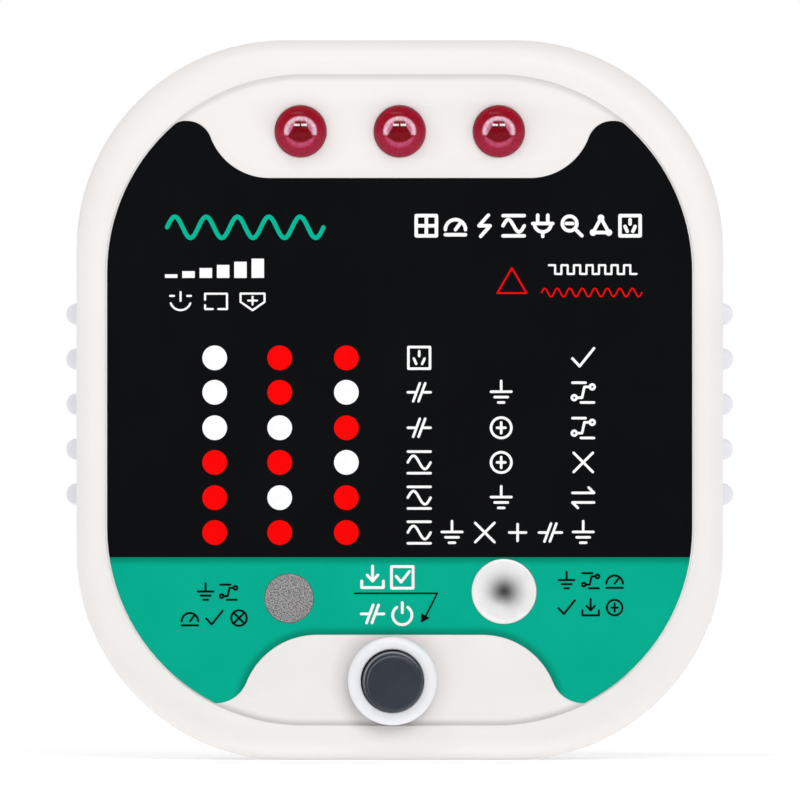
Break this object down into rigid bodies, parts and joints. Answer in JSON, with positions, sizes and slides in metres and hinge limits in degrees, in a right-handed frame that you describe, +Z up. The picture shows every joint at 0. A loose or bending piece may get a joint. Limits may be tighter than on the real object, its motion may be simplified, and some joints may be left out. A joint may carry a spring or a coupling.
{
  "type": "outlet tester plug",
  "caption": "Hand-held socket tester: rounded-square two-shell case with flat plug pins, indicator lamps, a touch contact and an RCD test push button.",
  "frame": {"origin": "centre of the flat plug face that meets the wall socket, which is also the centre of the pin pattern", "axes": "+Y along the pins, into the socket; the face with the lamps looks towards -Y; +Z up, towards the lamps and the earth pin"},
  "size_m": [0.0644, 0.056, 0.069],
  "materials": {
    "front_shell": "warm white moulded ABS, fine satin",
    "rear_shell": "cool white moulded ABS, fine satin",
    "face_label": "printed overlay, black and green",
    "lamp_lens": "tinted clear epoxy",
    "lamp_window": "frosted diffuser",
    "lamp_glass": "clear glass",
    "contact_metal": "bright nickel plate",
    "spring_wire": "drawn steel wire",
    "collar": "satin white",
    "button": "dark grey moulded",
    "switch_body": "black moulded",
    "brass": "stamped brass strip",
    "circuit_board": "green solder mask on glass epoxy",
    "resistor_body": "lacquered body with colour bands",
    "diode_body": "moulded epoxy with a band",
    "ceramic": "cement-filled ceramic",
    "pin_metal": "nickel-plated brass blade",
    "retainer": "black moulded",
    "wire_earth": "PVC insulation",
    "wire_live": "PVC insulation",
    "wire_neutral": "PVC insulation",
    "screw": "zinc plate"
  },
  "bodies": {
    "case": {"front_shell": "front_shell", "rear_shell": "rear_shell", "face_label": "face_label", "led_left": "lamp_lens", "led_middle": "lamp_lens", "led_right": "lamp_lens", "earth_lamp_window": "lamp_window", "neon_lamp": "lamp_glass", "earth_touch_contact": "contact_metal", "touch_contact_spring": "spring_wire", "rcd_button_collar": "collar", "rcd_fixed_contact_left": "brass", "rcd_fixed_contact_right": "brass", "rcd_switch_housing": "switch_body", "rcd_button_spring": "spring_wire", "circuit_board": "circuit_board", "touch_resistor": "resistor_body", "led_resistor_left": "resistor_body", "led_diode_left": "diode_body", "led_resistor_middle": "resistor_body", "led_diode_middle": "diode_body", "led_resistor_right": "resistor_body", "led_diode_right": "diode_body", "rcd_load_resistor": "ceramic", "earth_pin": "pin_metal", "live_pin": "pin_metal", "neutral_pin": "pin_metal", "pin_retainer": "retainer", "earth_wire": "wire_earth", "live_wire": "wire_live", "neutral_wire": "wire_neutral", "case_screw_top_left": "screw", "case_screw_top_right": "screw", "case_screw_bottom_left": "screw", "case_screw_bottom_right": "screw", "board_screw_left": "screw", "board_screw_right": "screw", "retainer_screw_left": "screw", "retainer_screw_right": "screw"},
    "rcd_button": {"rcd_button_cap": "button", "rcd_switch_plunger": "switch_body", "rcd_moving_contact": "brass"}
  },
  "joints": [
    {"name": "rcd_button_press", "type": "slide", "parent": "case", "child": "rcd_button", "axis": [0, 1, 0], "range_m": [0, 0.0015], "stiffness_N_per_m": 900, "springref_m": -0.0015, "deforming": ["rcd_button_spring"]}
  ]
}
